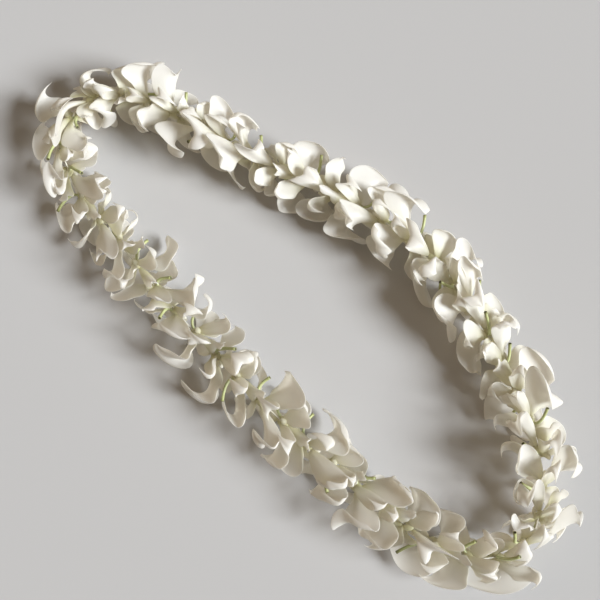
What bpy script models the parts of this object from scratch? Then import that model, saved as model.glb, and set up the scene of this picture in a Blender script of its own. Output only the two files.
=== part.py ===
# A flower lei: white orchid blooms threaded one behind the other on a closed loop of cotton string,
# lying on a flat surface. Run with: blender --background --python part.py
#
# A bloom is first worked out round a straight string, as (along, across, up) from its own centre:
# along runs with the string, across is sideways and up is vertical. The stack of blooms is then
# slanted by a smooth rule, bent round the loop and laid on the surface, so that neighbours that are
# clear of each other on the straight string stay clear on the loop.

import bmesh
import bpy
import numpy as np
from mathutils import Vector

# The lei
LEI_LENGTH = 0.914  # round the string, a 36 inch lei
BLOOM_COUNT = 46
STRING_HEIGHT = 0.0203  # string centre above the surface
SEED = 137

# The string's route seen from above, point by point round the loop
ROUTE = (
    (-0.229, -0.024), (-0.203, -0.053), (-0.158, -0.064), (-0.102, -0.071), (-0.046, -0.077),
    (0.010, -0.080), (0.066, -0.080), (0.122, -0.077), (0.176, -0.069), (0.214, -0.048),
    (0.220, -0.012), (0.190, 0.026), (0.144, 0.051), (0.092, 0.070), (0.036, 0.080),
    (-0.020, 0.072), (-0.074, 0.057), (-0.128, 0.042), (-0.180, 0.030), (-0.218, 0.010),
)
ROUTE_SAMPLES = 4000

# String and knot
STRING_DIAMETER = 0.0012
KNOT_GAP = 31  # the knot sits between this bloom and the next
KNOT_RADIUS = 0.0016
TAIL_LENGTH = 0.005
TAIL_HEADING = (0.35, 0.25, 0.9)  # the other tail leans the other way

# Hub: the short tube at the middle of the flower, with the hole that the string goes through
BORE_DIAMETER = 0.0018
HUB_WALL = 0.0020
HUB_LENGTH = 0.0042
HUB_SIDES = 12
RIM_BEVEL = 0.0013  # how far the bore's edge stands out past the middle of the wall at either end

# Blades: the sepals grow from the hub's back rim, the petals and the lip from its front rim.
# root: the hub side that the blade's middle grows from, counted round from the top one
# turn, lean and curl: degrees; lean tips the blade towards the flower's front
# rows: where the cross rows lie along the blade
BLADES = {
    "dorsal_sepal": dict(front=False, root=0, turn=0, length=0.0310, width=0.0143, widest=0.42,
                         lean=2, curl=-10, rows=(0.40, 0.76, 1)),
    "right_petal": dict(front=True, root=2, turn=64, length=0.0305, width=0.0246, widest=0.62,
                        lean=8, curl=10, rows=(0.30, 0.62, 0.90, 1)),
    "right_sepal": dict(front=False, root=5, turn=139, length=0.0300, width=0.0149, widest=0.44,
                        lean=-4, curl=12, rows=(0.40, 0.76, 1)),
    "lip": dict(front=True, root=6, turn=180, length=0.0167, width=0.0119, widest=0.52,
                lean=34, curl=-20, rows=(0.40, 0.76, 1)),
    "left_sepal": dict(front=False, root=7, turn=221, length=0.0300, width=0.0149, widest=0.44,
                       lean=-4, curl=12, rows=(0.40, 0.76, 1)),
    "left_petal": dict(front=True, root=10, turn=296, length=0.0305, width=0.0246, widest=0.62,
                       lean=8, curl=10, rows=(0.30, 0.62, 0.90, 1)),
}
BLADE_THICKNESS = 0.0007
CLAW_WIDTH = 0.0020  # how wide a blade still is where it leaves the hub
OUTLINE_RISE = 1.7  # how late a blade widens, as a power of the distance from its root
FULLNESS = 0.80  # power of the outline: under 1 a blade stays broad nearer its ends
LEAST_CURL = 0.01  # degrees, so that a straight blade still divides by its curl
CUP = 0.20  # how far the edges stand forward of the middle, as a share of the half width
TWIST_RATE = 2.2  # full twist is reached at the length divided by this
RIPPLES = 5.0  # radians of the edge's wave along a blade
EDGE_PHASE = 1.7  # how far the two edges' waves are apart from the middle, in radians
WAVE_PHASE = 3.0  # how far one blade's wave may be shifted, in radians

# How far one blade may differ from the rule
SIZE_SPREAD = 0.07
TURN_SPREAD = 5.0
LEAN_SPREAD = 5.0
CURL_SPREAD = 20.0
TWIST_SPREAD = 28.0
CUP_SPREAD = 0.26
WAVE_SPREAD = 0.0010

# Pedicel: the short green stalk behind the flower, cut off square; its route is given as
# (along, distance from the string, share of the full diameter)
PEDICEL_DIAMETER = 0.0026
PEDICEL_ROUTE = ((-0.0006, 0.0019, 0.66), (-0.0056, 0.0066, 0.86), (-0.0068, 0.0180, 1))
PEDICEL_TURN = 72  # from the top sepal, in the gap behind a petal
PEDICEL_TURN_SPREAD = 9
PEDICEL_SPREAD = 0.0025
PEDICEL_DRIFT = 0.12  # how far the stalk may lean aside, as a share of its length

# Slant of the stack: (share of the radius, waves round the loop, phase)
FAN = 0.32
FAN_WAVES = ((0.20, 4, 0.6), (0.08, 9, 2.0))
TIP = 0.95
TIP_WAVES = ((0.22, 3, 1.2), (0.16, 7, 0.2))
SIDE_WAVES = ((0.36, 5, 2.6), (0.14, 8, 5.0))
SLANT_SHRINK = 0.5  # how much a slanted petal draws in towards the string, 1 to keep its length
CROWDING = 0.5  # how much the inside of a bend draws its petals in
FAN_SOFTNESS = 0.006
HUB_RADIUS = (BORE_DIAMETER + HUB_WALL) / 2
RIGID_RADIUS = 0.0034  # inside this a bloom keeps its straight form
BENT_RADIUS = 0.0120  # outside this it follows the loop's bend

# The surface at height 0 pushes the lowest petals flat
SETTLE_DEPTH = 0.0110  # below the string, where petals start to yield
SLIDE = 0.6  # how far a pressed petal slides back along the string, as a share of the height it loses
PRESSED = 0.00030  # how much of a petal's underside is flattened away where it touches
SURFACE_SIZE = 0.6

WELD = 1e-6
PETAL_COLOR = (0.84, 0.83, 0.76)
PETAL_WARMTH = 0.04  # how much yellower one bloom may be than another
STRING_COLOR = (0.80, 0.78, 0.70)


def closed_route():
    """Places, headings and bends on a closed cubic curve through ROUTE, by distance along it."""
    points = np.array(ROUTE)
    count = len(points)
    ring = np.eye(count)
    mix = (4 * ring + np.roll(ring, 1, axis=0) + np.roll(ring, -1, axis=0)) / 6
    control = np.linalg.solve(mix, points)
    place = np.linspace(0, count, ROUTE_SAMPLES, endpoint=False)
    span = place.astype(int)
    t = (place - span)[:, None]
    weights = ((1 - t) ** 3, 3 * t**3 - 6 * t**2 + 4, -3 * t**3 + 3 * t**2 + 3 * t + 1, t**3)
    xy = sum(w / 6 * control[(span + k - 1) % count] for k, w in enumerate(weights))
    step = np.roll(xy, -1, axis=0) - xy
    lengths = np.linalg.norm(step, axis=1)
    xy = xy * LEI_LENGTH / lengths.sum()
    along = np.concatenate([[0], np.cumsum(lengths)[:-1]]) * LEI_LENGTH / lengths.sum()
    ahead, behind = np.roll(xy, -1, axis=0), np.roll(xy, 1, axis=0)
    heading = (ahead - behind) / np.linalg.norm(ahead - behind, axis=1)[:, None]
    turned = np.cross(xy - behind, ahead - xy) / np.linalg.norm(xy - behind, axis=1)
    bend = turned / np.linalg.norm(ahead - xy, axis=1) * ROUTE_SAMPLES / LEI_LENGTH
    return along, np.column_stack([xy, heading, bend])


ALONG, ROUTE_TABLE = closed_route()


def on_route(along):
    """Place and heading on the loop, in plan, and how sharply it turns left, at distances along it."""
    at = np.mod(along, LEI_LENGTH)
    columns = [np.interp(at, ALONG, column, period=LEI_LENGTH) for column in ROUTE_TABLE.T]
    return np.stack(columns[:2], axis=-1), np.stack(columns[2:4], axis=-1), columns[4]


PITCH = LEI_LENGTH / BLOOM_COUNT
GAPS = on_route((np.arange(BLOOM_COUNT) + 0.5) * PITCH)[0]  # string corners, halfway between blooms


def wave(parts, along):
    """A sum of sines that closes on itself round the loop."""
    turn = 2 * np.pi * along / LEI_LENGTH
    return sum(size * np.sin(count * turn + phase) for size, count, phase in parts)


def slant(along, across, up):
    """How far the stack's slant shifts a point along the string, and how far it draws it in."""
    radius = np.hypot(across, up)
    fan = FAN + wave(FAN_WAVES, along)
    out = np.hypot(radius, FAN_SOFTNESS) - FAN_SOFTNESS
    shift = fan * out + (TIP + wave(TIP_WAVES, along)) * up + wave(SIDE_WAVES, along) * across
    drawn = (1 + (shift / np.maximum(radius, FAN_SOFTNESS)) ** 2) ** (-SLANT_SHRINK / 2)
    return shift * drawn, drawn


def settle(up):
    """Heights above the surface, and the height lost: a parabola takes the lowest petals into the flat."""
    floor = BLADE_THICKNESS / 2 - PRESSED - STRING_HEIGHT
    depth = -SETTLE_DEPTH - floor
    below = np.clip(-SETTLE_DEPTH - up, 0, 2 * depth)
    height = np.maximum(up, -SETTLE_DEPTH) - below + below**2 / (4 * depth)
    return STRING_HEIGHT + height, height - up


def place(index, local):
    """From (along, across, up) round the straight string to the lei on its surface."""
    along, across, up = local.T
    shift, drawn = slant(index * PITCH + along, across, up)
    across = across * drawn
    height, lost = settle(up * drawn)
    along = along + shift - SLIDE * lost
    centre, heading, bend = on_route(index * PITCH + along)
    across = across / (1 + CROWDING * np.maximum(across * bend, 0))
    sideways = np.stack([-heading[:, 1], heading[:, 0]], axis=1)
    bent = centre + across[:, None] * sideways
    before, after = GAPS[index - 1], GAPS[index]
    forward = (after - before) / np.linalg.norm(after - before)
    left = np.array([-forward[1], forward[0]])
    rigid = (before + after) / 2 + along[:, None] * forward + across[:, None] * left
    radius = np.hypot(across, up * drawn)
    share = np.clip((radius - RIGID_RADIUS) / (BENT_RADIUS - RIGID_RADIUS), 0, 1)[:, None]
    share = share * share * (3 - 2 * share)
    return np.column_stack([rigid + share * (bent - rigid), height])


def outline(t, widest):
    """Half width along a blade, 1 at its widest and 0 at both ends."""
    rise = OUTLINE_RISE
    fall = rise * (1 - widest) / widest
    return (t**rise * (1 - t) ** fall / (widest**rise * (1 - widest) ** fall)) ** FULLNESS


def blade_surface(blade, draw, size, roll, t, w):
    """A blade's middle surface: t runs from root to tip, w from -1 to 1 across it."""
    turn = np.radians(blade["turn"] + TURN_SPREAD * draw[0]) + roll
    length = blade["length"] * size * (1 + SIZE_SPREAD * draw[1])
    half = blade["width"] / 2 * size * outline(t, blade["widest"]) + CLAW_WIDTH / 2 * (1 - t) ** 3
    start = np.radians(blade["lean"] + LEAN_SPREAD * draw[2])
    change = np.radians(blade["curl"] + CURL_SPREAD * draw[3] + LEAST_CURL)
    pitch = start + change * t
    out = HUB_RADIUS + length * (np.sin(pitch) - np.sin(start)) / change
    root = HUB_LENGTH / 2 if blade["front"] else -HUB_LENGTH / 2
    along = root - length * (np.cos(pitch) - np.cos(start)) / change
    twist = np.radians(TWIST_SPREAD * draw[4]) * np.minimum(t * TWIST_RATE, 1)
    cup = (CUP + CUP_SPREAD * draw[5]) * half * w**2
    phase = WAVE_PHASE * draw[6] + EDGE_PHASE * np.sign(w)
    fade = np.minimum(6 * t * (1 - t), 1)
    ripple = WAVE_SPREAD * w**2 * np.sin(RIPPLES * t + phase) * fade
    side = half * w * np.cos(twist) - (cup + ripple) * np.sin(twist)
    rise = half * w * np.sin(twist) + (cup + ripple) * np.cos(twist)
    along = along + rise * np.cos(pitch)
    out = out - rise * np.sin(pitch)
    across = out * np.sin(turn) + side * np.cos(turn)
    up = out * np.cos(turn) - side * np.sin(turn)
    return np.column_stack([along, across, up])


def link(name, mesh, collection):
    item = bpy.data.objects.new(name, mesh)
    collection.objects.link(item)
    return item


def rim_points(index, roll, front, side):
    """Corners of one end of the hub: side is 0 in the middle of the wall, -1 at the bore, 1 outside."""
    angle = roll + 2 * np.pi * np.arange(HUB_SIDES) / HUB_SIDES
    radius = HUB_RADIUS + side * HUB_WALL / 2
    end = HUB_LENGTH / 2 - side * RIM_BEVEL
    along = np.full(HUB_SIDES, end if front else -end)
    return place(index, np.column_stack([along, radius * np.sin(angle), radius * np.cos(angle)]))


def bevel_rims(flower, index, roll, rims):
    """Sets both edges of each rim, so that a blade that leans over the hub keeps its two faces apart."""
    vertices = flower.data.vertices
    count = len(vertices) // 2
    for front, rim in rims.items():
        centre = Vector(rim_points(index, roll, front, 0).mean(axis=0))
        inner = rim_points(index, roll, front, -1)
        outer = rim_points(index, roll, front, 1)
        for corner, number in enumerate(rim):
            pair = (vertices[number], vertices[number + count])
            near, far = sorted(pair, key=lambda vertex: (vertex.co - centre).length)
            near.co = inner[corner]
            far.co = outer[corner]


def grow_blade(bm, rim, index, blade, draw, size, roll, thickness):
    """Extrudes two edges of the hub's rim row by row into one blade, and closes its tip."""
    span = [rim[(blade["root"] + k) % HUB_SIDES] for k in (-1, 0, 1)]
    for t in blade["rows"]:
        edges = [bm.edges.get(pair) for pair in zip(span, span[1:])]
        made = bmesh.ops.extrude_edge_only(bm, edges=edges)["geom"]
        new = {item for item in made if isinstance(item, bmesh.types.BMVert)}
        ends = [{edge.other_vert(old) for edge in old.link_edges} & new for old in span]
        span = [end.pop() for end in ends]
        row = blade_surface(blade, draw, size, roll, np.full(3, t), np.array([-1.0, 0.0, 1.0]))
        for vertex, point in zip(span, place(index, row)):
            vertex.co = point
            vertex[thickness][0] = BLADE_THICKNESS / HUB_WALL
    bmesh.ops.remove_doubles(bm, verts=span, dist=WELD)


def make_flower(name, index, draws, size, roll, collection):
    """Hub and blades as one open surface, split into triangles and given its thickness."""
    bm = bmesh.new()
    thickness = bm.verts.layers.deform.verify()
    bmesh.ops.create_cone(
        bm, cap_ends=False, segments=HUB_SIDES, radius1=HUB_RADIUS, radius2=HUB_RADIUS,
        depth=HUB_LENGTH,
    )
    around = sorted(bm.verts, key=lambda vertex: np.arctan2(vertex.co.y, vertex.co.x))
    rims = {front: [vertex for vertex in around if (vertex.co.z > 0) is front] for front in (False, True)}
    for front, rim in rims.items():
        for vertex, point in zip(rim, rim_points(index, roll, front, 0)):
            vertex.co = point
            vertex[thickness][0] = 1
    for blade, draw in zip(BLADES.values(), draws):
        grow_blade(bm, rims[blade["front"]], index, blade, draw, size, roll, thickness)
    bmesh.ops.triangulate(bm, faces=bm.faces)
    bmesh.ops.recalc_face_normals(bm, faces=bm.faces)
    bm.verts.index_update()
    numbers = {front: [vertex.index for vertex in rim] for front, rim in rims.items()}
    mesh = bpy.data.meshes.new(name)
    bm.to_mesh(mesh)
    bm.free()
    flower = link(name, mesh, collection)
    flower.vertex_groups.new(name="thickness")
    wall = flower.modifiers.new("thickness", "SOLIDIFY")
    wall.thickness = HUB_WALL
    wall.offset = 0
    wall.vertex_group = "thickness"
    bake(flower)
    bevel_rims(flower, index, roll, numbers)
    return flower


def make_pedicel(index, draw, roll, collection):
    """A tube along the stalk's route, welded and made a mesh."""
    angle = roll + np.radians(PEDICEL_TURN + PEDICEL_TURN_SPREAD * draw[0]) * np.sign(draw[0])
    route = np.array(PEDICEL_ROUTE)
    reach = route[:, 1] + PEDICEL_SPREAD * draw[1] * (route[:, 1] / route[-1, 1]) ** 2
    drift = PEDICEL_DRIFT * draw[2] * np.maximum(reach - reach[0], 0)
    across = reach * np.sin(angle) + drift * np.cos(angle)
    up = reach * np.cos(angle) - drift * np.sin(angle)
    points = place(index, np.column_stack([route[:, 0], across, up]))
    make_tube("pedicel", points, PEDICEL_DIAMETER * route[:, 2], collection)


def make_tube(name, points, diameters, collection, cyclic=False):
    """A tube through the points as a closed mesh, with its caps welded on."""
    curve = bpy.data.curves.new(name, "CURVE")
    curve.dimensions = "3D"
    curve.bevel_depth = 1
    curve.bevel_resolution = 1
    curve.use_fill_caps = not cyclic
    line = curve.splines.new("POLY")
    line.use_cyclic_u = cyclic
    line.points.add(len(points) - 1)
    for spot, point, diameter in zip(line.points, points, diameters):
        spot.co = (*point, 1)
        spot.radius = diameter / 2
    tube = link(name, curve, collection)
    bpy.context.view_layer.update()
    mesh = bpy.data.meshes.new_from_object(tube.evaluated_get(bpy.context.evaluated_depsgraph_get()))
    bpy.data.objects.remove(tube)
    bm = bmesh.new()
    bm.from_mesh(mesh)
    bmesh.ops.remove_doubles(bm, verts=bm.verts, dist=WELD)
    bmesh.ops.recalc_face_normals(bm, faces=bm.faces)
    bm.to_mesh(mesh)
    bm.free()
    return link(name, mesh, collection)


def bake(item):
    """Makes what the object's modifiers show its own mesh."""
    bpy.context.view_layer.update()
    mesh = bpy.data.meshes.new_from_object(item.evaluated_get(bpy.context.evaluated_depsgraph_get()))
    item.modifiers.clear()
    item.data = mesh


def apply(item, operation, solver, **operand):
    """Applies one Boolean to an object."""
    change = item.modifiers.new("change", "BOOLEAN")
    change.operation = operation
    change.solver = solver
    for name, value in operand.items():
        setattr(change, name, value)
    bake(item)


def fuse(item, pieces):
    """One union of the object with itself and with the collection's objects, which are then removed."""
    apply(item, "UNION", "EXACT", use_self=True, operand_type="COLLECTION", collection=pieces)
    for piece in list(pieces.objects):
        bpy.data.objects.remove(piece)


def make_surface(cutters):
    """A block whose top is the surface that the lei lies on."""
    bm = bmesh.new()
    bmesh.ops.create_cube(bm, size=SURFACE_SIZE)
    bmesh.ops.translate(bm, verts=bm.verts, vec=(0, 0, -SURFACE_SIZE / 2))
    mesh = bpy.data.meshes.new("surface")
    bm.to_mesh(mesh)
    bm.free()
    surface = link("surface", mesh, cutters)
    surface.hide_render = True
    surface.display_type = "WIRE"
    return surface


def material(name, color, roughness):
    """A plain finish in the piece's own colour."""
    finish = bpy.data.materials.new(name)
    finish.use_nodes = True
    shader = finish.node_tree.nodes["Principled BSDF"]
    shader.inputs["Base Color"].default_value = (*color, 1)
    shader.inputs["Roughness"].default_value = roughness
    shader.inputs["Metallic"].default_value = 0
    return finish


def make_bloom(index, blade_draws, bloom_draw, lei, pieces, surface):
    """One flower: a hub, three sepals, two petals, a lip and the pedicel, grown together."""
    name = f"bloom_{index + 1:02d}"
    roll = np.pi * bloom_draw[0]
    size = 1 + SIZE_SPREAD * bloom_draw[1]
    bloom = make_flower(name, index, blade_draws, size, roll, lei)
    make_pedicel(index, bloom_draw[2:5], roll, pieces)
    fuse(bloom, pieces)
    apply(bloom, "DIFFERENCE", "MANIFOLD", object=surface)
    red, green, blue = PETAL_COLOR
    color = (red, green, blue - PETAL_WARMTH * (1 + bloom_draw[5]) / 2)
    bloom.data.materials.clear()
    bloom.data.materials.append(material(name, color, 0.55))
    return bloom


def make_string(lei, pieces):
    """The closed string with its knot and two short tails."""
    corners = np.column_stack([GAPS, np.full(BLOOM_COUNT, STRING_HEIGHT)])
    thin = [STRING_DIAMETER] * BLOOM_COUNT
    string = make_tube("string", corners, thin, lei, cyclic=True)
    knot_at = corners[KNOT_GAP]
    bm = bmesh.new()
    bmesh.ops.create_icosphere(bm, subdivisions=1, radius=KNOT_RADIUS)
    bmesh.ops.translate(bm, verts=bm.verts, vec=knot_at)
    mesh = bpy.data.meshes.new("knot")
    bm.to_mesh(mesh)
    bm.free()
    link("knot", mesh, pieces)
    for side in (-1, 1):
        tail = np.array(TAIL_HEADING) * (side, 1, 1) * TAIL_LENGTH
        make_tube("tail", [knot_at, knot_at + tail], thin, pieces)
    fuse(string, pieces)
    string.data.materials.clear()
    string.data.materials.append(material("string", STRING_COLOR, 0.9))
    return string


def centre_on_origin(objects):
    """Moves the finished lei sideways so that its box is centred over the origin."""
    bpy.context.view_layer.update()
    corners = np.concatenate([
        [(item.matrix_world @ vertex.co)[:] for vertex in item.data.vertices] for item in objects
    ])
    middle = (corners.min(axis=0) + corners.max(axis=0)) / 2
    for item in objects:
        item.location.x -= middle[0]
        item.location.y -= middle[1]


def main():
    for item in list(bpy.data.objects):
        bpy.data.objects.remove(item)
    lei = bpy.data.collections.new("flower_lei")
    pieces = bpy.data.collections.new("pieces")
    cutters = bpy.data.collections.new("cutters")
    for collection in (lei, pieces, cutters):
        bpy.context.scene.collection.children.link(collection)
    rng = np.random.default_rng(SEED)
    bloom_draws = rng.uniform(-1, 1, (BLOOM_COUNT, 6))
    blade_draws = rng.uniform(-1, 1, (BLOOM_COUNT, len(BLADES), 7))
    surface = make_surface(cutters)
    objects = [make_string(lei, pieces)]
    for index, draws in enumerate(zip(blade_draws, bloom_draws)):
        objects.append(make_bloom(index, *draws, lei, pieces, surface))
    centre_on_origin(objects)
    bpy.data.collections.remove(pieces)


main()
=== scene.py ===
# Flower lei: white orchid blooms threaded one behind the other on a loop of cotton string.
# A bloom is worked out round a straight string, as (along, across, up) from its own centre. The stack
# is then slanted, bent round the loop and laid on the surface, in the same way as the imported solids.

import bpy
import numpy as np
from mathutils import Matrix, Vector


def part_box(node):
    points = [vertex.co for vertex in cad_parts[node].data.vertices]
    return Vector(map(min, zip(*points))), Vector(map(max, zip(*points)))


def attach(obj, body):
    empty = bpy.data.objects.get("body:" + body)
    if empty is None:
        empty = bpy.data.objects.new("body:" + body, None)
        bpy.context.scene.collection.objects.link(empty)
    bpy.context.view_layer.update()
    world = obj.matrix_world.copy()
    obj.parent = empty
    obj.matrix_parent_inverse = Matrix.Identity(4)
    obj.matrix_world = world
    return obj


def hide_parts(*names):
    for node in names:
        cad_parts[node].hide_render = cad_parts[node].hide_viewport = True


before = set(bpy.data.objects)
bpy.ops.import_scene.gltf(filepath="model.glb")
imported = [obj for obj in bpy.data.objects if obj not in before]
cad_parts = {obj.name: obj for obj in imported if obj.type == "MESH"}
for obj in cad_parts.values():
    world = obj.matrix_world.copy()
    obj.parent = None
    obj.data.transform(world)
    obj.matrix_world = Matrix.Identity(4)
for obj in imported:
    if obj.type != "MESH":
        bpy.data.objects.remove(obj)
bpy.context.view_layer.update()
print("frame:", len(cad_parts), "nodes")

lei = {
    "length": 0.914,  # round the string
    "blooms": 46,
    "stringHeight": 0.0203,
    "seed": 137,
    "samples": 4000,
    "route": [  # seen from above, point by point round the loop
        (-0.229, -0.024), (-0.203, -0.053), (-0.158, -0.064), (-0.102, -0.071), (-0.046, -0.077),
        (0.010, -0.080), (0.066, -0.080), (0.122, -0.077), (0.176, -0.069), (0.214, -0.048),
        (0.220, -0.012), (0.190, 0.026), (0.144, 0.051), (0.092, 0.070), (0.036, 0.080),
        (-0.020, 0.072), (-0.074, 0.057), (-0.128, 0.042), (-0.180, 0.030), (-0.218, 0.010),
    ],
}
stack = {  # waves are (share of the radius, waves round the loop, phase)
    "fan": 0.32,
    "fanWaves": [(0.20, 4, 0.6), (0.08, 9, 2.0)],
    "tip": 0.95,
    "tipWaves": [(0.22, 3, 1.2), (0.16, 7, 0.2)],
    "sideWaves": [(0.36, 5, 2.6), (0.14, 8, 5.0)],
    "shrink": 0.5,
    "crowding": 0.5,
    "softness": 0.006,
    "rigidRadius": 0.0034,
    "bentRadius": 0.0120,
    "settleDepth": 0.0110,
    "slide": 0.6,  # how far a pressed petal slides along the string, as a share of the height it loses
    "lowest": 0.00025,  # height of a petal's middle where it lies on the surface
}
hub = {"bore": 0.0018, "wall": 0.0020, "length": 0.0042}
hubRadius = (hub["bore"] + hub["wall"]) / 2


# A periodic cubic B-spline through the route's points, scaled to the lei's length: gives the distance
# along it, and the place, heading and bend there.
def closedRoute():
    points = np.array(lei["route"])
    count = len(points)
    ring = np.eye(count)
    mix = (4 * ring + np.roll(ring, 1, axis=0) + np.roll(ring, -1, axis=0)) / 6
    control = np.linalg.solve(mix, points)
    spot = np.linspace(0, count, lei["samples"], endpoint=False)
    span = spot.astype(int)
    t = (spot - span)[:, None]
    weights = ((1 - t) ** 3, 3 * t**3 - 6 * t**2 + 4, -3 * t**3 + 3 * t**2 + 3 * t + 1, t**3)
    xy = sum(w / 6 * control[(span + k - 1) % count] for k, w in enumerate(weights))
    lengths = np.linalg.norm(np.roll(xy, -1, axis=0) - xy, axis=1)
    scale = lei["length"] / lengths.sum()
    xy = xy * scale
    along = np.concatenate([[0], np.cumsum(lengths)[:-1]]) * scale
    ahead, behind = np.roll(xy, -1, axis=0), np.roll(xy, 1, axis=0)
    heading = (ahead - behind) / np.linalg.norm(ahead - behind, axis=1)[:, None]
    turned = np.cross(xy - behind, ahead - xy) / np.linalg.norm(xy - behind, axis=1)
    bend = turned / np.linalg.norm(ahead - xy, axis=1) * lei["samples"] / lei["length"]
    return along, np.column_stack([xy, heading, bend])


routeAlong, routeTable = closedRoute()
pitch = lei["length"] / lei["blooms"]


# Place, heading and bend of the loop at distances along it, read off the route between its samples.
def onRoute(along):
    at = np.mod(along, lei["length"])
    columns = [np.interp(at, routeAlong, column, period=lei["length"]) for column in routeTable.T]
    return np.stack(columns[:2], axis=-1), np.stack(columns[2:4], axis=-1), columns[4]


# A bell curve: 1 at its middle, and falling with the square of the distance from there over its width.
def bell(x, middle, width):
    return np.exp(-(((x - middle) / width) ** 2))


# A sum of sines that closes on itself round the loop.
def wave(parts, along):
    turn = 2 * np.pi * along / lei["length"]
    return sum(size * np.sin(count * turn + phase) for size, count, phase in parts)


gaps = onRoute((np.arange(lei["blooms"]) + 0.5) * pitch)[0]  # string corners, halfway between blooms
stringLow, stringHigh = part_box("string")
middle = (np.array(stringLow) + np.array(stringHigh))[:2] / 2
shiftToFrame = middle - (gaps.min(axis=0) + gaps.max(axis=0)) / 2


# From (along, across, up) round the straight string to the frame: a shift along the string that grows
# with the radius and with up and across, then a parabola that takes the lowest points over into the
# flat surface and slides them back, and last the loop's bend, which fades out near the string.
def placeOnLei(index, points):
    along, across, up = np.moveaxis(points, -1, 0)
    at = index * pitch + along
    radius = np.hypot(across, up)
    fan = stack["fan"] + wave(stack["fanWaves"], at)
    out = np.hypot(radius, stack["softness"]) - stack["softness"]
    shift = fan * out + (stack["tip"] + wave(stack["tipWaves"], at)) * up
    shift = shift + wave(stack["sideWaves"], at) * across
    drawn = (1 + (shift / np.maximum(radius, stack["softness"])) ** 2) ** (-stack["shrink"] / 2)
    along, across, up = along + shift * drawn, across * drawn, up * drawn
    depth = lei["stringHeight"] - stack["settleDepth"] - stack["lowest"]
    below = np.clip(-stack["settleDepth"] - up, 0, 2 * depth)
    height = np.maximum(up, -stack["settleDepth"]) - below + below**2 / (4 * depth)
    along = along - stack["slide"] * (height - up)
    centre, heading, bend = onRoute(index * pitch + along)
    across = across / (1 + stack["crowding"] * np.maximum(across * bend, 0))
    bent = centre + across[..., None] * np.stack([-heading[..., 1], heading[..., 0]], axis=-1)
    before, after = gaps[index - 1], gaps[index]
    forward = (after - before) / np.linalg.norm(after - before)
    left = np.array([-forward[1], forward[0]])
    rigid = (before + after) / 2 + along[..., None] * forward + across[..., None] * left
    share = (np.hypot(across, up) - stack["rigidRadius"]) / (stack["bentRadius"] - stack["rigidRadius"])
    share = np.clip(share, 0, 1)[..., None]
    xy = rigid + share * share * (3 - 2 * share) * (bent - rigid) + shiftToFrame
    return np.concatenate([xy, lei["stringHeight"] + height[..., None]], axis=-1)


# A piece's mesh is gathered part by part: points, faces, and for each point a tint and a place on the
# blade (u, v) for the veins.
def newStore():
    return {"points": [], "faces": [], "tint": [], "uv": [], "slots": [], "count": 0}


# A part's faces are numbered on from the points that are there already.
def addPart(store, points, faces, tint, uv, slot):
    points = points.reshape(-1, 3)
    store["points"].append(points)
    store["faces"] += [[corner + store["count"] for corner in face] for face in faces]
    store["tint"].append(np.broadcast_to(tint, len(points)))
    store["uv"].append(uv.reshape(-1, 2))
    store["slots"] += [slot] * len(faces)
    store["count"] += len(points)


# The quads of a grid of rows by columns, as point numbers; a closed direction joins its end to its start.
def gridQuads(rows, columns, closedRows=False, closedColumns=False):
    i = np.arange(rows if closedRows else rows - 1)[:, None]
    j = np.arange(columns if closedColumns else columns - 1)[None, :]
    i, j = np.broadcast_arrays(i, j)
    i2, j2 = (i + 1) % rows, (j + 1) % columns
    corners = [i * columns + j, i * columns + j2, i2 * columns + j2, i2 * columns + j]
    return np.stack([corner.ravel() for corner in corners], axis=1)


# One mesh object from a store, smooth shaded, with its tint and its UV map.
def finishPiece(name, store, materials):
    mesh = bpy.data.meshes.new(name)
    mesh.from_pydata(np.concatenate(store["points"]), [], store["faces"])
    for material in materials:
        mesh.materials.append(material)
    mesh.polygons.foreach_set("material_index", np.array(store["slots"], np.int32))
    tint = mesh.attributes.new("tint", "FLOAT", "POINT")
    tint.data.foreach_set("value", np.concatenate(store["tint"]).astype(np.float32))
    corner = np.zeros(len(mesh.loops), np.int32)
    mesh.loops.foreach_get("vertex_index", corner)
    layer = mesh.uv_layers.new(name="blade")
    layer.data.foreach_set("uv", np.concatenate(store["uv"])[corner].astype(np.float32).ravel())
    mesh.shade_smooth()
    piece = bpy.data.objects.new(name, mesh)
    bpy.context.scene.collection.objects.link(piece)
    return piece


# Faces of a thin closed sheet: its front, its back turned round, and a rim that joins their four edges.
def sheetFaces(rows, columns):
    top = gridQuads(rows, columns)
    size = rows * columns
    numbers = np.arange(size).reshape(rows, columns)
    edge = np.concatenate([numbers[0], numbers[1:, -1], numbers[-1, -2::-1], numbers[-2:0:-1, 0]])
    after = np.roll(edge, -1)
    rim = np.stack([edge, edge + size, after + size, after], axis=1)
    return np.concatenate([top, top[:, ::-1] + size, rim]).tolist()


# Its points: the middle surface moved half the thickness each way along its own normal.
def thinSheet(grid, thickness):
    normal = np.cross(np.gradient(grid, axis=1), np.gradient(grid, axis=0))
    normal = normal / np.maximum(np.linalg.norm(normal, axis=-1, keepdims=True), 1e-12)  # no division by 0
    offset = normal * thickness[..., None] / 2
    return np.stack([grid + offset, grid - offset])


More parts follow.
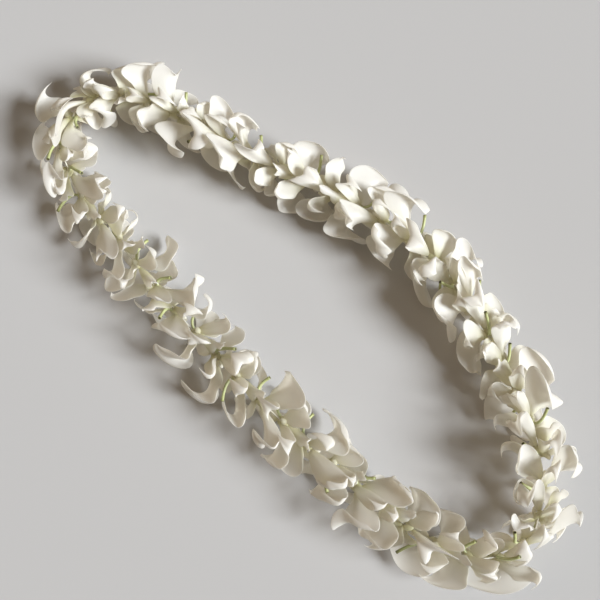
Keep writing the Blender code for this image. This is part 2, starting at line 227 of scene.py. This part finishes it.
# Lean, curl, tipCurl, fold and roll are degrees; widest is a place along the blade, from 0 to 1.
petalShape = dict(front=True, length=0.0305, width=0.0208, widest=0.56, fullness=0.76,
                  lean=16, curl=-12, tipCurl=146, fold=36, roll=80, lobed=0)
sepalShape = dict(front=False, length=0.0300, width=0.0136, widest=0.42, fullness=0.80,
                  lean=2, curl=-4, tipCurl=160, fold=6, roll=74, lobed=0)
lipShape = dict(front=True, length=0.0167, width=0.0119, widest=0.52, fullness=0.70,
                lean=34, curl=-20, tipCurl=60, fold=16, roll=-30, lobed=1)
blades = [  # in the order of the draws; turn is where a blade stands round the string, in degrees
    dict(sepalShape, turn=0, length=0.0310, width=0.0131, curl=-10),
    dict(petalShape, turn=64),
    dict(sepalShape, turn=139),
    dict(lipShape, turn=180),
    dict(sepalShape, turn=221),
    dict(petalShape, turn=296),
]
spread = {  # how far one blade may differ from the rule
    "size": 0.07, "turn": 5.0, "lean": 5.0, "curl": 20.0, "twist": 28.0, "cup": 0.26, "wave": 0.0010,
}
bladeForm = {  # places along a blade run from 0 at its root to 1 at its tip, and across it from -1 to 1
    "claw": 0.0020,  # width of its root
    "rise": 1.25,  # how slowly it widens from the root
    "sharpness": 0.34,  # how much more pointed a tip may be
    "leastCurl": 0.01,
    "tipStart": 0.34,  # where its tip begins to curl back
    "tipPower": 1.4,
    "leastTip": 0.94,
    "tipSpread": 0.42,
    "twistRate": 2.2,
    "tipTwist": 24,  # degrees
    "cup": 0.20,
    "foldSpread": 28,  # degrees that each half may stand forward of its rule at the middle line
    "foldWidth": 0.14,
    "foldFade": 0.5,  # share of the fold that is gone at the tip
    "rollSpread": 62,  # degrees that an edge may roll back past its rule
    "rollRate": 1.6,  # how soon the roll is whole
    "rib": 0.00016,  # the raised middle line
    "ribWidth": 0.07,
}
rimWaves = {  # phases are for the blade's own draw and for its side
    "ripples": 5.0,
    "ripplePhases": (3.0, 1.7),
    "sway": 0.0024,  # slow waves, each side its own
    "swayAt": 0.010,  # half width where they have this height
    "swayRate": 8.5,
    "swayPhases": (4, 2.4),
    "frill": 0.0004,  # finer waves
    "frillRate": 19,
    "frillPhases": (5, 2),
    "fade": 6,  # how soon they are whole, from the root and from the tip
}
lipForm = {  # size, place along the lip and width
    "waist": (0.34, 0.60, 0.09),
    "lobes": (0.8, 0.35, 0.22),
    "green": (0.6, 0.3, 0.2),
}
bladeSheet = {
    "rows": 28,
    "rowPower": 1.35,  # above 1, rows stand closer towards the tip
    "columns": 19,
    "columnReach": 0.90,  # towards 1, columns stand closer towards the rim
    "tipEnd": 0.9985,
    "rootThickness": 0.0010,
    "rootPower": 4,
    "thickness": 0.00042,
    "rimThickness": 0.00020,
    "rimPowers": (8, 14),  # how narrow the thin rim is, at the sides and at the tip
}
# The green at a blade's root is partly the flower's own colour and partly painted shade where the blade
# runs into the deep middle of the bloom.
rootGreenAndShade = {"front": 0.13, "back": 0.18, "spread": 0.25}  # how far the green runs up a blade


# Half width along a blade: a power of t that rises times a power of 1 - t that falls, 1 at its widest.
# A lobed blade narrows to a waist past its middle.
def outline(t, blade, sharp):
    rise = bladeForm["rise"]
    widest = blade["widest"]
    fall = rise * (1 - widest) / widest
    plain = t**rise * (1 - t) ** fall / (widest**rise * (1 - widest) ** fall)
    depth, place, width = lipForm["waist"]
    waist = 1 - depth * blade["lobed"] * bell(t, place, width)
    power = blade["fullness"] + sharp * np.clip((t - widest) / (1 - widest), 0, 1)
    return plain**power * waist


# Running sum of values over steps along an axis, by the mean of each step's two ends.
def runningSum(values, at, axis):
    values = np.moveaxis(values, axis, 0)
    at = np.moveaxis(at, axis, 0)
    steps = (values[1:] + values[:-1]) / 2 * np.diff(at, axis=0)
    total = np.concatenate([np.zeros_like(values[:1]), np.cumsum(steps, axis=0)])
    return np.moveaxis(total, 0, axis)


# A blade's cross section, from w -1 to 1: a strip of unchanged width whose slope away from the flat is
# a fold at the middle line, a cup that grows with w and a roll of each edge that grows with w squared.
def crossSection(blade, draw, extra, t, w):
    fold = np.radians(blade["fold"] + bladeForm["foldSpread"] * extra[2])
    cup = 2 * (bladeForm["cup"] + spread["cup"] * draw[5])
    sides = np.where(w < 0, extra[4], extra[5])
    roll = -np.radians(blade["roll"] + bladeForm["rollSpread"] * sides)
    reach = np.clip(bladeForm["rollRate"] * t, 0, 1)
    slope = fold * (1 - bell(w, 0, bladeForm["foldWidth"])) * (1 - bladeForm["foldFade"] * t)
    slope = slope + cup * np.abs(w) + roll * w**2 * reach
    across = runningSum(np.cos(slope), w + 0 * t, 1)
    lift = runningSum(np.sign(w) * np.sin(slope), w + 0 * t, 1)
    middle = w.shape[1] // 2
    return across - across[:, middle : middle + 1], lift - lift[:, middle : middle + 1]


# Height of the waves at a blade's rim: sines along it that grow with a power of w and fade out at both
# ends, a ripple, a slow sway in proportion to the half width, and a fine frill.
def edgeWaves(draw, extra, half, t, w):
    own, side = rimWaves["ripplePhases"]
    phase = own * draw[6] + side * np.sign(w)
    ripple = spread["wave"] * w**2 * np.sin(rimWaves["ripples"] * t + phase)
    own, side = rimWaves["swayPhases"]
    turn = rimWaves["swayRate"] * t + own * extra[1] + side * np.sign(w) * extra[0]
    sway = rimWaves["sway"] * np.abs(w) ** 3 * np.sin(turn)
    own, side = rimWaves["frillPhases"]
    turn = rimWaves["frillRate"] * t + own * extra[1] + side * np.sign(w)
    frill = rimWaves["frill"] * w**4 * np.sin(turn)
    fade = np.minimum(rimWaves["fade"] * t * (1 - t), 1)
    return (ripple + sway * half / rimWaves["swayAt"] + frill) * fade


# A blade's middle surface, t from root to tip and w from side to side. Its middle line turns steadily
# from lean by curl, and back by tipCurl past tipStart; the section stands on it with its rib, its rim's
# waves and a lip's two raised lobes, and twists about it.
def bladeMiddle(blade, draw, extra, size, roll, t, w):
    turn = np.radians(blade["turn"] + spread["turn"] * draw[0]) + roll
    length = blade["length"] * size * (1 + spread["size"] * draw[1])
    sharp = bladeForm["sharpness"] * (1 + extra[3]) / 2
    half = blade["width"] / 2 * size * outline(t, blade, sharp) + bladeForm["claw"] / 2 * (1 - t) ** 3
    start = np.radians(blade["lean"] + spread["lean"] * draw[2])
    change = np.radians(blade["curl"] + spread["curl"] * draw[3] + bladeForm["leastCurl"])
    back = -np.radians(blade["tipCurl"]) * (bladeForm["leastTip"] + bladeForm["tipSpread"] * extra[0])
    past = np.clip((t - bladeForm["tipStart"]) / (1 - bladeForm["tipStart"]), 0, 1)
    tip = back * past ** bladeForm["tipPower"]
    pitchAt = start + change * t + tip
    out = hubRadius + length * runningSum(np.cos(pitchAt), t, 0)
    root = hub["length"] / 2 if blade["front"] else -hub["length"] / 2
    along = root + length * runningSum(np.sin(pitchAt), t, 0)
    twist = np.radians(spread["twist"] * draw[4]) * np.minimum(t * bladeForm["twistRate"], 1)
    twist = twist + np.radians(bladeForm["tipTwist"] * extra[1]) * t**2
    across, lift = crossSection(blade, draw, extra, t, w)
    rib = -bladeForm["rib"] * bell(w, 0, bladeForm["ribWidth"]) * (1 - t)
    height, place, width = lipForm["lobes"]
    lobes = height * blade["lobed"] * half * w**2 * bell(t, place, width)
    lift = half * lift + edgeWaves(draw, extra, half, t, w) + rib + lobes
    across = half * across
    side = across * np.cos(twist) - lift * np.sin(twist)
    rise = across * np.sin(twist) + lift * np.cos(twist)
    along = along + rise * np.cos(pitchAt)
    out = out - rise * np.sin(pitchAt)
    onSide = out * np.sin(turn) + side * np.cos(turn)
    up = out * np.cos(turn) - side * np.sin(turn)
    return np.stack([along, onSide, up], axis=-1), half * w, length * t + 0 * w


sheetCorners = sheetFaces(bladeSheet["rows"], bladeSheet["columns"])


# One blade as a thin sheet: thick at the root and thin at the rim, both by powers of t and w, and green
# at the root by an exponential of t: partly the flower's own green base, partly painted shade in the
# deep middle of the bloom.
def addBlade(store, index, blade, draw, extra, size, roll):
    s = np.linspace(0, 1, bladeSheet["rows"])[:, None]
    t = bladeSheet["tipEnd"] * (1 - (1 - s) ** bladeSheet["rowPower"])
    w = np.linspace(-1, 1, bladeSheet["columns"]) * np.pi / 2 * bladeSheet["columnReach"]
    w = np.sin(w)[None, :]
    w = w / w.max()
    local, u, v = bladeMiddle(blade, draw, extra, size, roll, t, w)
    grid = placeOnLei(index, local)
    plain, extraAtRoot = bladeSheet["thickness"], bladeSheet["rootThickness"] - bladeSheet["thickness"]
    body = plain + extraAtRoot * (1 - t) ** bladeSheet["rootPower"]
    sidePower, tipPower = bladeSheet["rimPowers"]
    edge = np.maximum(np.abs(w) ** sidePower, t**tipPower)
    thickness = body + (bladeSheet["rimThickness"] - body) * edge
    run = rootGreenAndShade["front"] if blade["front"] else rootGreenAndShade["back"]
    # Partly painted shade: the green root also darkens the blade where it runs into the bloom's depths.
    root = np.exp(-t / run) * (1 + rootGreenAndShade["spread"] * extra[3])
    share, place, width = lipForm["green"]
    tint = np.clip(root + share * blade["lobed"] * bell(t, place, width) + 0 * w, 0, 1)
    uv = np.stack([u, v], axis=-1)
    sheet = thinSheet(grid, thickness)
    addPart(store, sheet, sheetCorners, np.tile(tint.ravel(), 2), np.stack([uv, uv]), 0)


offAxis = (0.31, 0.17, 0.93)  # no tube runs this way, so each ring can be set square to it


# A closed tube along a smooth line: a ring of points across each place on the line, square to the
# heading there, and end points that close both ends. Radii may differ from ring to ring, and given
# headings let a tube turn back into its own end.
def addTube(store, line, radii, tint, slot, sides=12, heading=None):
    if heading is None:
        heading = np.gradient(line, axis=0)
    heading = heading / np.linalg.norm(heading, axis=1)[:, None]
    first = np.cross(heading, offAxis)
    first = first / np.linalg.norm(first, axis=1)[:, None]
    second = np.cross(heading, first)
    angle = 2 * np.pi * np.arange(sides) / sides
    ring = np.cos(angle)[None, :, None] * first[:, None] + np.sin(angle)[None, :, None] * second[:, None]
    rows = len(line)
    points = (line[:, None] + ring * np.asarray(radii)[:, None, None]).reshape(-1, 3)
    faces = gridQuads(rows, sides, closedColumns=True).tolist()
    start, end = len(points), len(points) + 1
    near, far = np.arange(sides), np.arange(sides) + (rows - 1) * sides
    faces += [[start, b, a] for a, b in zip(near, np.roll(near, -1))]
    faces += [[end, a, b] for a, b in zip(far, np.roll(far, -1))]
    points = np.concatenate([points, line[:1], line[-1:]])
    tints = np.concatenate([np.repeat(tint, sides), tint[:1], tint[-1:]])
    run = np.linspace(0, 1, rows)
    uv = np.stack([np.tile(angle, rows), np.repeat(run, sides)], axis=1)
    uv = np.concatenate([uv, [[0, 0], [0, 1]]])
    addPart(store, points, faces, tints, uv, slot)


# A smooth line through a few points: each coordinate is a polynomial through them.
def smoothLine(points, count):
    points = np.asarray(points, float)
    knots = np.linspace(0, 1, len(points))
    spots = np.linspace(0, 1, count)
    return np.stack([np.polyval(np.polyfit(knots, c, len(points) - 1), spots) for c in points.T], axis=1)


# Points given as (along, distance from the string) at one angle round it, as (along, across, up).
def atAngle(route, angle):
    route = np.asarray(route, float)
    return np.stack([route[:, 0], route[:, 1] * np.sin(angle), route[:, 1] * np.cos(angle)], axis=1)


heart = {  # the fleshy middle of a flower; routes are (along, distance from the string)
    "collar": 0.0003,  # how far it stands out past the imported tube
    "collarGrid": (20, 10),
    "collarTint": 0.85,
    "column": [(0.0010, 0.0021), (0.0036, 0.0036), (0.0066, 0.0034)],
    "columnRadii": (0.0012, 0.0013, 0.0011),
    "columnTint": (0.7, 0.2),
    "spur": [(-0.0006, 0.0018), (-0.0034, 0.0046), (-0.0066, 0.0056)],
    "spurRadii": (0.0019, 0.0018, 0.0012),
    "spurTint": (0.8, 0.4),
    "rings": 9,
    "endShares": (0.97, 0.80, 0.30),  # of the radius, at the last three rings
}


# The heart: a ring round the string, an ellipse turned about it, with the column that stands forward
# from its top and the spur behind.
def addHeart(store, index, roll):
    turns, steps = heart["collarGrid"]
    around = roll + 2 * np.pi * np.arange(turns) / turns
    section = 2 * np.pi * np.arange(steps) / steps
    radius = hubRadius + (hub["wall"] / 2 + heart["collar"]) * np.cos(section)
    along = (hub["length"] / 2 + heart["collar"]) * np.sin(section)
    radius = np.maximum(radius, hub["bore"] / 2)
    ring = np.stack([
        np.broadcast_to(along[None, :], heart["collarGrid"]),
        radius[None, :] * np.sin(around)[:, None],
        radius[None, :] * np.cos(around)[:, None],
    ], axis=-1)
    faces = gridQuads(turns, steps, closedRows=True, closedColumns=True)[:, ::-1].tolist()
    addPart(store, placeOnLei(index, ring), faces, heart["collarTint"], np.zeros((turns * steps, 2)), 0)
    share = np.linspace(0, 1, heart["rings"])
    for part, angle in (("column", roll), ("spur", roll + np.pi)):
        line = placeOnLei(index, smoothLine(atAngle(heart[part], angle), heart["rings"]))
        radii = np.interp(share, (0, 0.5, 1), heart[part + "Radii"])
        radii[-3:] = radii[-3:] * heart["endShares"]
        addTube(store, line, radii, np.linspace(*heart[part + "Tint"], heart["rings"]), 0)


pedicel = {
    "diameter": 0.0026,
    "route": [(-0.0006, 0.0019), (-0.0056, 0.0066), (-0.0068, 0.0180)],
    "shares": (0.62, 0.74, 0.84),  # of the radius, at the flower, halfway and at the cut end
    "waist": 0.08,
    "rings": 18,
    "turn": 72,
    "turnSpread": 9,
    "lengthSpread": 0.0025,
    "drift": 0.12,
    "tint": (0.10, 0.75),  # at the flower, and how much more at the cut end
    "cut": [(0.0001, 0.72, 0.97), (0.0007, 0.45, 1.0)],  # the hollow: depth, share of the radius and tint
}


# The stalk: a tube on a smooth line through three points, faintly waisted, with a dark hollow cut end.
def addPedicel(store, index, draw, roll):
    angle = roll + np.radians(pedicel["turn"] + pedicel["turnSpread"] * draw[0]) * np.sign(draw[0])
    route = np.array(pedicel["route"])
    reach = route[:, 1] + pedicel["lengthSpread"] * draw[1] * (route[:, 1] / route[-1, 1]) ** 2
    drift = pedicel["drift"] * draw[2] * np.maximum(reach - reach[0], 0)
    across = reach * np.sin(angle) + drift * np.cos(angle)
    up = reach * np.cos(angle) - drift * np.sin(angle)
    line = placeOnLei(index, smoothLine(np.column_stack([route[:, 0], across, up]), pedicel["rings"]))
    share = np.linspace(0, 1, pedicel["rings"])
    radii = pedicel["diameter"] / 2 * np.interp(share, (0, 0.5, 1), pedicel["shares"])
    radii = radii * (1 - pedicel["waist"] * np.sin(np.pi * share * 3) * share)
    heading = np.gradient(line, axis=0)
    back = (line[-2] - line[-1]) / np.linalg.norm(line[-2] - line[-1])
    depths, shares, tints = np.array(pedicel["cut"]).T
    line = np.concatenate([line, line[-1:] + back * depths[:, None]])
    radii = np.concatenate([radii, radii[-1] * shares])
    heading = np.concatenate([heading, np.repeat(heading[-1:], len(depths), axis=0)])
    first, more = pedicel["tint"]
    tint = np.concatenate([first + more * share, tints])
    addTube(store, line, radii, tint, 1, heading=heading)


# A new material with its nodes and links, and its shader.
def newMaterial(name, roughness):
    material = bpy.data.materials.new(name)
    material.use_nodes = True
    nodes = material.node_tree.nodes
    shader = nodes["Principled BSDF"]
    shader.inputs["Roughness"].default_value = roughness
    return material, nodes, material.node_tree.links, shader


# The tint of each point, as a node.
def tintNode(nodes):
    tint = nodes.new("ShaderNodeAttribute")
    tint.attribute_name = "tint"
    return tint


# Colours by position, 0 to 1, blended evenly in between and fed to the shader's colour.
def linkShades(nodes, links, value, shades, shader):
    ramp = nodes.new("ShaderNodeValToRGB")
    stops = ramp.color_ramp.elements
    for number, (position, color) in enumerate(shades):
        stop = stops[number] if number < 2 else stops.new(position)
        stop.position = position
        stop.color = (*color, 1)
    links.new(value, ramp.inputs["Fac"])
    links.new(ramp.outputs["Color"], shader.inputs["Base Color"])


# Fine relief: a height, fed to the shader's normal. Depth is in metres.
def linkBump(nodes, links, height, strength, depth, shader):
    bump = nodes.new("ShaderNodeBump")
    bump.inputs["Strength"].default_value = strength
    bump.inputs["Distance"].default_value = depth
    links.new(height, bump.inputs["Height"])
    links.new(bump.outputs["Normal"], shader.inputs["Normal"])
    return bump


petalLook = {
    "white": (0.955, 0.935, 0.905),
    "green": (0.62, 0.595, 0.28),
    "through": (0.99, 0.955, 0.88),
    "translucency": 0.54,
    "roughness": 0.40,
    "veinSpacing": 1150.0,
    "veinLength": 14,  # how many times longer a vein is than it is wide
    "veinBump": 0.10,
    "veinDepth": 0.0004,
}


# Petal: white, green towards the root by its tint, with long veins that follow the blade and a fine
# uneven skin; part of the light goes through. The green is partly the flower's own base colour and
# partly painted shade in the deep middle of the bloom.
def petalMaterial():
    material, nodes, links, shader = newMaterial("petal", petalLook["roughness"])
    color = nodes.new("ShaderNodeMix")
    color.data_type = "RGBA"
    color.inputs[6].default_value = (*petalLook["white"], 1)
    color.inputs[7].default_value = (*petalLook["green"], 1)
    links.new(tintNode(nodes).outputs["Fac"], color.inputs[0])
    links.new(color.outputs[2], shader.inputs["Base Color"])
    place = nodes.new("ShaderNodeUVMap")
    place.uv_map = "blade"
    stretch = nodes.new("ShaderNodeMapping")
    spacing = petalLook["veinSpacing"]
    stretch.inputs["Scale"].default_value = (spacing, spacing / petalLook["veinLength"], 1)
    links.new(place.outputs["UV"], stretch.inputs["Vector"])
    vein = nodes.new("ShaderNodeTexNoise")
    vein.inputs["Scale"].default_value = 1
    vein.inputs["Detail"].default_value = 2
    links.new(stretch.outputs["Vector"], vein.inputs["Vector"])
    skin = (petalLook["veinBump"], petalLook["veinDepth"])
    bump = linkBump(nodes, links, vein.outputs["Fac"], *skin, shader)
    through = nodes.new("ShaderNodeBsdfTranslucent")
    through.inputs["Color"].default_value = (*petalLook["through"], 1)
    links.new(bump.outputs["Normal"], through.inputs["Normal"])
    both = nodes.new("ShaderNodeMixShader")
    both.inputs["Fac"].default_value = petalLook["translucency"]
    links.new(shader.outputs["BSDF"], both.inputs[1])
    links.new(through.outputs["BSDF"], both.inputs[2])
    links.new(both.outputs["Shader"], nodes["Material Output"].inputs["Surface"])
    return material


stalkLook = {
    "roughness": 0.42,
    "shades": [  # by tint
        (0.00, (0.66, 0.69, 0.42)),
        (0.55, (0.56, 0.59, 0.30)),
        (0.80, (0.45, 0.47, 0.20)),
        (0.93, (0.20, 0.18, 0.06)),
        (1.00, (0.035, 0.030, 0.010)),
    ],
}


# Stalk: pale green by the flower, greener along it and dark brown at the cut.
def stalkMaterial():
    material, nodes, links, shader = newMaterial("stalk", stalkLook["roughness"])
    linkShades(nodes, links, tintNode(nodes).outputs["Fac"], stalkLook["shades"], shader)
    return material


petal, stalk = petalMaterial(), stalkMaterial()
print("materials: petal, stalk")

rng = np.random.default_rng(lei["seed"])
bloomDraws = rng.uniform(-1, 1, (lei["blooms"], 6))
bladeDraws = rng.uniform(-1, 1, (lei["blooms"], len(blades), 7))
extraDraws = np.random.default_rng(lei["seed"] + 1).uniform(-1, 1, (lei["blooms"], len(blades), 6))


# One flower: its blades, its heart and its stalk as one piece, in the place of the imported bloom.
def makeFlower(index):
    store = newStore()
    draw = bloomDraws[index]
    roll = np.pi * draw[0]
    size = 1 + spread["size"] * draw[1]
    for number, blade in enumerate(blades):
        addBlade(store, index, blade, bladeDraws[index, number], extraDraws[index, number], size, roll)
    addHeart(store, index, roll)
    addPedicel(store, index, draw[2:5], roll)
    piece = finishPiece(f"flower_{index + 1:02d}", store, [petal, stalk])
    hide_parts(f"bloom_{index + 1:02d}")
    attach(piece, "root")


for index in range(lei["blooms"]):
    makeFlower(index)
print("blooms:", lei["blooms"])

cotton = {
    "diameter": 0.0012,
    "strands": 3,
    "lobe": 0.16,
    "lay": 0.0042,  # length of one full twist
    "step": 0.0009,
    "sides": 14,
    "bendRows": 3,  # rows each way over which a corner is rounded
    "knotGap": 31,
    "knotSize": (0.0009, 0.0010),  # half its length, and the radius that it is wound at
    "knotRadius": 0.00042,  # of its own cord
    "knotRings": 60,
    "knotSides": 8,
    "tail": 0.005,
    "tailHeading": (0.35, 0.25, 0.9),
    "tailStart": 0.15,
    "tailRings": 12,
}
cottonLook = {
    "roughness": 0.9,
    "shades": [(0.0, (0.60, 0.56, 0.45)), (1.0, (0.84, 0.81, 0.72))],
    "fibreScale": 5200,
    "fibreBump": 0.4,
    "fibreDepth": 0.0001,
}


# The string: straight between its corners in the gaps. Its section is a circle with three lobes that
# turn round it once in every lay, so that it looks twisted. Both ends of the grid join.
def twistedLoop():
    corners = gaps + shiftToFrame
    legs = np.linalg.norm(np.roll(corners, -1, axis=0) - corners, axis=1)
    total = legs.sum()
    marks = np.concatenate([[0], np.cumsum(legs)])
    rows = int(total / cotton["step"])
    at = np.arange(rows) / rows * total
    ends = np.concatenate([corners, corners[:1]])
    xy = np.stack([np.interp(at, marks, ends[:, k]) for k in (0, 1)], axis=1)
    heading = np.roll(xy, -cotton["bendRows"], axis=0) - np.roll(xy, cotton["bendRows"], axis=0)
    heading = heading / np.linalg.norm(heading, axis=1)[:, None]
    sideways = np.stack([-heading[:, 1], heading[:, 0], np.zeros(rows)], axis=1)
    turns = round(total / cotton["lay"])
    angle = 2 * np.pi * np.arange(cotton["sides"]) / cotton["sides"]
    phase = 2 * np.pi * turns * at / total
    lobes = 1 + cotton["lobe"] * np.cos(cotton["strands"] * (angle[None, :] - phase[:, None]))
    radius = cotton["diameter"] / 2 * lobes / (1 + cotton["lobe"])
    line = np.column_stack([xy, np.full(rows, lei["stringHeight"])])
    points = line[:, None] + (radius * np.cos(angle))[..., None] * sideways[:, None]
    points = points + (radius * np.sin(angle))[..., None] * np.array([0, 0, 1.0])
    faces = gridQuads(rows, cotton["sides"], closedRows=True, closedColumns=True).tolist()
    uv = np.stack(np.broadcast_arrays(angle[None, :], at[:, None]), axis=-1)
    return points, faces, uv


# Knot: a helix of two turns round the string, left up at both ends as two short straight tails.
def knotLine():
    centre = np.array([*(gaps[cotton["knotGap"]] + shiftToFrame), lei["stringHeight"]])
    reach, radius = cotton["knotSize"]
    fullTurn = 2 * np.pi
    turn = np.linspace(-fullTurn, fullTurn, cotton["knotRings"])
    wrap = np.stack([turn / fullTurn * reach, radius * np.cos(turn), radius * np.sin(turn)], axis=1)
    heading = gaps[cotton["knotGap"]] - gaps[cotton["knotGap"] - 1]
    heading = heading / np.linalg.norm(heading)
    turned = np.column_stack([
        wrap[:, 0] * heading[0] - wrap[:, 1] * heading[1],
        wrap[:, 0] * heading[1] + wrap[:, 1] * heading[0],
        wrap[:, 2],
    ])
    tail = np.array(cotton["tailHeading"]) * cotton["tail"]
    steps = np.linspace(cotton["tailStart"], 1, cotton["tailRings"])[:, None]
    first = turned[0] + steps[::-1] * tail * (-1, 1, 1)
    last = turned[-1] + steps * tail
    return centre + np.concatenate([first, turned, last])


# Cotton: undyed, matt, with fine fibres.
def cottonMaterial():
    material, nodes, links, shader = newMaterial("cotton", cottonLook["roughness"])
    place = nodes.new("ShaderNodeTexCoord")
    fibre = nodes.new("ShaderNodeTexNoise")
    fibre.inputs["Scale"].default_value = cottonLook["fibreScale"]
    links.new(place.outputs["Object"], fibre.inputs["Vector"])
    linkShades(nodes, links, fibre.outputs["Fac"], cottonLook["shades"], shader)
    fine = (cottonLook["fibreBump"], cottonLook["fibreDepth"])
    linkBump(nodes, links, fibre.outputs["Fac"], *fine, shader)
    return material


# The string and its knot as one piece.
def makeString():
    store = newStore()
    points, faces, uv = twistedLoop()
    addPart(store, points, faces, 0.0, uv, 0)
    knot = knotLine()
    radii = np.full(len(knot), cotton["knotRadius"])
    addTube(store, knot, radii, np.zeros(len(knot)), 0, sides=cotton["knotSides"])
    cord = finishPiece("cotton_string", store, [cottonMaterial()])
    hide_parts("string")
    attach(cord, "root")


makeString()
print("string: done")

surface = {
    "size": 12.0,
    "color": (0.545, 0.525, 0.51),
    "roughness": 0.9,
    "shine": 0.2,
    "grainBump": 0.05,
    "grainDepth": 0.0005,
    "grainScale": (1400, 60, 1),
    "grainBearing": 43.01,  # degrees
}


# Floor: a plain pale board with a faint long grain.
def makeFloor():
    half = surface["size"] / 2
    corners = [(-half, -half, 0), (half, -half, 0), (half, half, 0), (-half, half, 0)]
    mesh = bpy.data.meshes.new("floor")
    mesh.from_pydata(corners, [], [(0, 1, 2, 3)])
    material, nodes, links, shader = newMaterial("board", surface["roughness"])
    shader.inputs["Base Color"].default_value = (*surface["color"], 1)
    shader.inputs["Specular IOR Level"].default_value = surface["shine"]
    place = nodes.new("ShaderNodeTexCoord")
    turn = nodes.new("ShaderNodeMapping")
    turn.inputs["Rotation"].default_value = (0, 0, np.radians(surface["grainBearing"]))
    turn.inputs["Scale"].default_value = surface["grainScale"]
    grain = nodes.new("ShaderNodeTexNoise")
    grain.inputs["Scale"].default_value = 1
    links.new(place.outputs["Object"], turn.inputs["Vector"])
    links.new(turn.outputs["Vector"], grain.inputs["Vector"])
    linkBump(nodes, links, grain.outputs["Fac"], surface["grainBump"], surface["grainDepth"], shader)
    mesh.materials.append(material)
    floor = bpy.data.objects.new("floor", mesh)
    bpy.context.scene.collection.objects.link(floor)


cameraView = {
    "target": (-0.0021, -0.0055, 0.018),
    "bearing": -46.99,  # degrees from +X to the camera, seen from above
    "elevation": 80,
    "distance": 0.540,
    "lens": 50,
}


# A point at a distance from a centre, by its bearing and elevation in degrees.
def seenFrom(centre, bearing, elevation, distance):
    a, e = np.radians(bearing), np.radians(elevation)
    step = (np.cos(a) * np.cos(e), np.sin(a) * np.cos(e), np.sin(e))
    return Vector(centre) + distance * Vector(step)


# The camera looks at its target from the photograph's side.
def makeCamera():
    camera = bpy.data.objects.new("camera", bpy.data.cameras.new("camera"))
    camera.data.lens = cameraView["lens"]
    camera.location = seenFrom(
        cameraView["target"], cameraView["bearing"], cameraView["elevation"], cameraView["distance"]
    )
    back = camera.location - Vector(cameraView["target"])
    camera.rotation_euler = (-back).to_track_quat("-Z", "Y").to_euler()
    bpy.context.scene.collection.objects.link(camera)
    bpy.context.scene.camera = camera


lights = {  # bearing, elevation and angle are degrees; angle is how wide a light looks from the lei
    "window": dict(bearing=27, elevation=34, angle=24, strength=5.3, color=(0.88, 0.94, 1.0)),
    "wall": dict(bearing=190, elevation=36, angle=50, strength=0.34, color=(1.0, 0.72, 0.42)),
}
air = {"color": (1.0, 0.88, 0.72), "strength": 0.14}


# Two soft suns, so that the floor is evenly lit however far it runs, and a dim warm air.
def makeLights():
    for name, light in lights.items():
        lamp = bpy.data.objects.new(name, bpy.data.lights.new(name, "SUN"))
        lamp.data.energy = light["strength"]
        lamp.data.angle = np.radians(light["angle"])
        lamp.data.color = light["color"]
        lamp.location = seenFrom((0, 0, 0), light["bearing"], light["elevation"], 1)
        lamp.rotation_euler = (-lamp.location).to_track_quat("-Z", "Y").to_euler()
        bpy.context.scene.collection.objects.link(lamp)
    world = bpy.data.worlds.new("air")
    world.use_nodes = True
    background = world.node_tree.nodes["Background"]
    background.inputs["Color"].default_value = (*air["color"], 1)
    background.inputs["Strength"].default_value = air["strength"]
    bpy.context.scene.world = world
    bpy.context.scene.view_settings.view_transform = "Standard"


makeFloor()
makeCamera()
makeLights()
print("floor, camera and lights: done")
